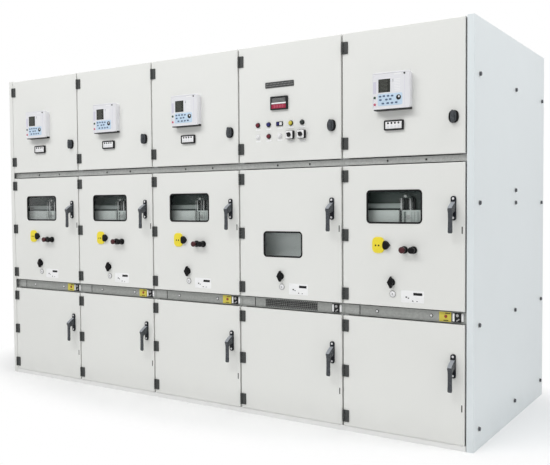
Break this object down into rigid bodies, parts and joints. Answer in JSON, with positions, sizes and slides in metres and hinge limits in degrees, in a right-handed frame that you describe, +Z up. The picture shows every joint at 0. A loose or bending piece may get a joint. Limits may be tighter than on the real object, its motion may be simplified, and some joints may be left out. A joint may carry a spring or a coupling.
{
  "type": "medium-voltage switchgear line-up",
  "caption": "Row of metal-clad medium-voltage switchgear bays with stacked hinged control, breaker and cable doors, windows, relays, lever handles and a closed end panel.",
  "frame": {"origin": "centre of the row's box, on the floor", "axes": "+X along the row to the right as seen from the doors, +Y from the doors to the rear, +Z up"},
  "size_m": [3.58, 1.46, 2.2],
  "materials": {
    "enclosure_paint": "satin powder coat",
    "galvanised": "galvanised sheet",
    "fitting_grey": "matt dark grey",
    "relay_grey": "light grey housing",
    "instrument_dark": "dark grey housing",
    "control_black": "black",
    "sign_yellow": "yellow",
    "truck_grey": "satin grey",
    "window_glass": "clear, slightly grey"
  },
  "bodies": {
    "frame": {"base_frame": "enclosure_paint", "floor_plates": "galvanised", "bay_walls": "galvanised", "frame_posts": "galvanised", "left_end_panel": "enclosure_paint", "right_end_panel": "enclosure_paint", "rear_covers": "enclosure_paint", "roof_plates": "enclosure_paint", "control_partitions": "galvanised", "breaker_partitions": "galvanised", "upper_rails": "galvanised", "lower_rails": "galvanised", "interlock_units": "sign_yellow", "hinge_brackets": "fitting_grey", "withdrawable_trucks": "truck_grey"},
    "control_leaf_1": {"control_door_1": "enclosure_paint", "control_door_fittings_1": "fitting_grey", "protection_relay_1": "relay_grey"},
    "breaker_leaf_1": {"breaker_door_1": "enclosure_paint", "breaker_door_window_1": "window_glass", "breaker_door_fittings_1": "fitting_grey", "breaker_door_controls_1": "control_black"},
    "cable_leaf_1": {"cable_door_1": "enclosure_paint", "cable_door_fittings_1": "fitting_grey"},
    "control_leaf_2": {"control_door_2": "enclosure_paint", "control_door_fittings_2": "fitting_grey", "protection_relay_2": "relay_grey"},
    "breaker_leaf_2": {"breaker_door_2": "enclosure_paint", "breaker_door_window_2": "window_glass", "breaker_door_fittings_2": "fitting_grey", "breaker_door_controls_2": "control_black"},
    "cable_leaf_2": {"cable_door_2": "enclosure_paint", "cable_door_fittings_2": "fitting_grey"},
    "control_leaf_3": {"control_door_3": "enclosure_paint", "control_door_fittings_3": "fitting_grey", "protection_relay_3": "relay_grey"},
    "breaker_leaf_3": {"breaker_door_3": "enclosure_paint", "breaker_door_window_3": "window_glass", "breaker_door_fittings_3": "fitting_grey", "breaker_door_controls_3": "control_black"},
    "cable_leaf_3": {"cable_door_3": "enclosure_paint", "cable_door_fittings_3": "fitting_grey"},
    "control_leaf_4": {"control_door_4": "enclosure_paint", "control_door_fittings_4": "fitting_grey", "metering_instruments_4": "instrument_dark"},
    "breaker_leaf_4": {"breaker_door_4": "enclosure_paint", "breaker_door_window_4": "window_glass", "breaker_door_fittings_4": "fitting_grey", "breaker_door_controls_4": "control_black"},
    "cable_leaf_4": {"cable_door_4": "enclosure_paint", "cable_door_fittings_4": "fitting_grey"},
    "control_leaf_5": {"control_door_5": "enclosure_paint", "control_door_fittings_5": "fitting_grey", "protection_relay_5": "relay_grey"},
    "breaker_leaf_5": {"breaker_door_5": "enclosure_paint", "breaker_door_window_5": "window_glass", "breaker_door_fittings_5": "fitting_grey", "breaker_door_controls_5": "control_black"},
    "cable_leaf_5": {"cable_door_5": "enclosure_paint", "cable_door_fittings_5": "fitting_grey"}
  },
  "joints": [
    {"name": "control_door_1_hinge", "type": "hinge", "parent": "frame", "child": "control_leaf_1", "pos_m": [-1.743, -0.6765, 1.854], "axis": [0, 0, -1], "range_deg": [0, 120]},
    {"name": "breaker_door_1_hinge", "type": "hinge", "parent": "frame", "child": "breaker_leaf_1", "pos_m": [-1.743, -0.6765, 1.092], "axis": [0, 0, -1], "range_deg": [0, 120]},
    {"name": "cable_door_1_hinge", "type": "hinge", "parent": "frame", "child": "cable_leaf_1", "pos_m": [-1.743, -0.6765, 0.3385], "axis": [0, 0, -1], "range_deg": [0, 120]},
    {"name": "control_door_2_hinge", "type": "hinge", "parent": "frame", "child": "control_leaf_2", "pos_m": [-1.043, -0.6765, 1.854], "axis": [0, 0, -1], "range_deg": [0, 120]},
    {"name": "breaker_door_2_hinge", "type": "hinge", "parent": "frame", "child": "breaker_leaf_2", "pos_m": [-1.043, -0.6765, 1.092], "axis": [0, 0, -1], "range_deg": [0, 120]},
    {"name": "cable_door_2_hinge", "type": "hinge", "parent": "frame", "child": "cable_leaf_2", "pos_m": [-1.043, -0.6765, 0.3385], "axis": [0, 0, -1], "range_deg": [0, 120]},
    {"name": "control_door_3_hinge", "type": "hinge", "parent": "frame", "child": "control_leaf_3", "pos_m": [-0.343, -0.6765, 1.854], "axis": [0, 0, -1], "range_deg": [0, 120]},
    {"name": "breaker_door_3_hinge", "type": "hinge", "parent": "frame", "child": "breaker_leaf_3", "pos_m": [-0.343, -0.6765, 1.092], "axis": [0, 0, -1], "range_deg": [0, 120]},
    {"name": "cable_door_3_hinge", "type": "hinge", "parent": "frame", "child": "cable_leaf_3", "pos_m": [-0.343, -0.6765, 0.3385], "axis": [0, 0, -1], "range_deg": [0, 120]},
    {"name": "control_door_4_hinge", "type": "hinge", "parent": "frame", "child": "control_leaf_4", "pos_m": [0.357, -0.6765, 1.854], "axis": [0, 0, -1], "range_deg": [0, 120]},
    {"name": "breaker_door_4_hinge", "type": "hinge", "parent": "frame", "child": "breaker_leaf_4", "pos_m": [0.357, -0.6765, 1.092], "axis": [0, 0, -1], "range_deg": [0, 120]},
    {"name": "cable_door_4_hinge", "type": "hinge", "parent": "frame", "child": "cable_leaf_4", "pos_m": [0.357, -0.6765, 0.3385], "axis": [0, 0, -1], "range_deg": [0, 120]},
    {"name": "control_door_5_hinge", "type": "hinge", "parent": "frame", "child": "control_leaf_5", "pos_m": [1.057, -0.6765, 1.854], "axis": [0, 0, -1], "range_deg": [0, 120]},
    {"name": "breaker_door_5_hinge", "type": "hinge", "parent": "frame", "child": "breaker_leaf_5", "pos_m": [1.057, -0.6765, 1.092], "axis": [0, 0, -1], "range_deg": [0, 120]},
    {"name": "cable_door_5_hinge", "type": "hinge", "parent": "frame", "child": "cable_leaf_5", "pos_m": [1.057, -0.6765, 0.3385], "axis": [0, 0, -1], "range_deg": [0, 120]}
  ]
}
